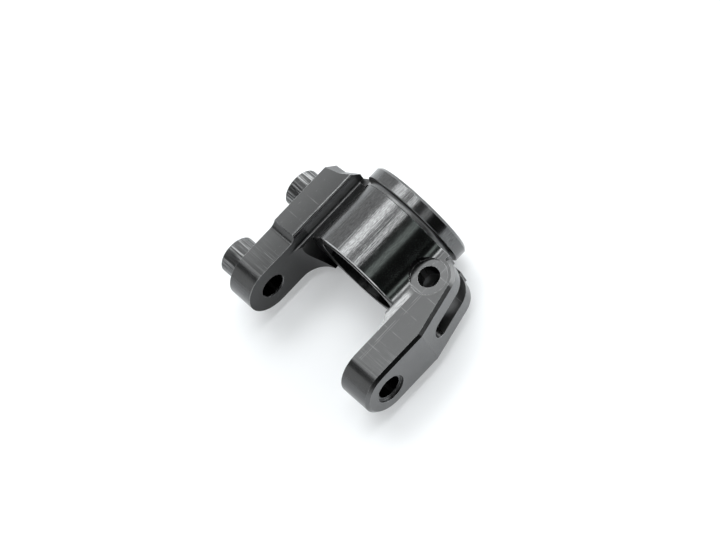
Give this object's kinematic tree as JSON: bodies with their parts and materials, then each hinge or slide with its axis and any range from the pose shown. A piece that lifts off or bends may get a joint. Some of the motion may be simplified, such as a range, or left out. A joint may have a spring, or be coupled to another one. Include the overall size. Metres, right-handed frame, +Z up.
{
  "type": "steering knuckle",
  "caption": "Milled aluminium steering knuckle: kingpin ears either side of a bearing barrel with a flange, and a slotted arm for the steering link.",
  "frame": {"origin": "on the kingpin axis, midway between the inner faces of the two ears", "axes": "+X along the wheel axis, outboard to the flange; +Y along the kingpin axis, towards the ear with the two bosses; +Z up, square to the ears' milled flats"},
  "size_m": [0.0361, 0.0453, 0.0232],
  "materials": {
    "steering_knuckle": "black anodised, satin with milling marks"
  },
  "bodies": {
    "root": {"steering_knuckle": "steering_knuckle"}
  },
  "joints": []
}
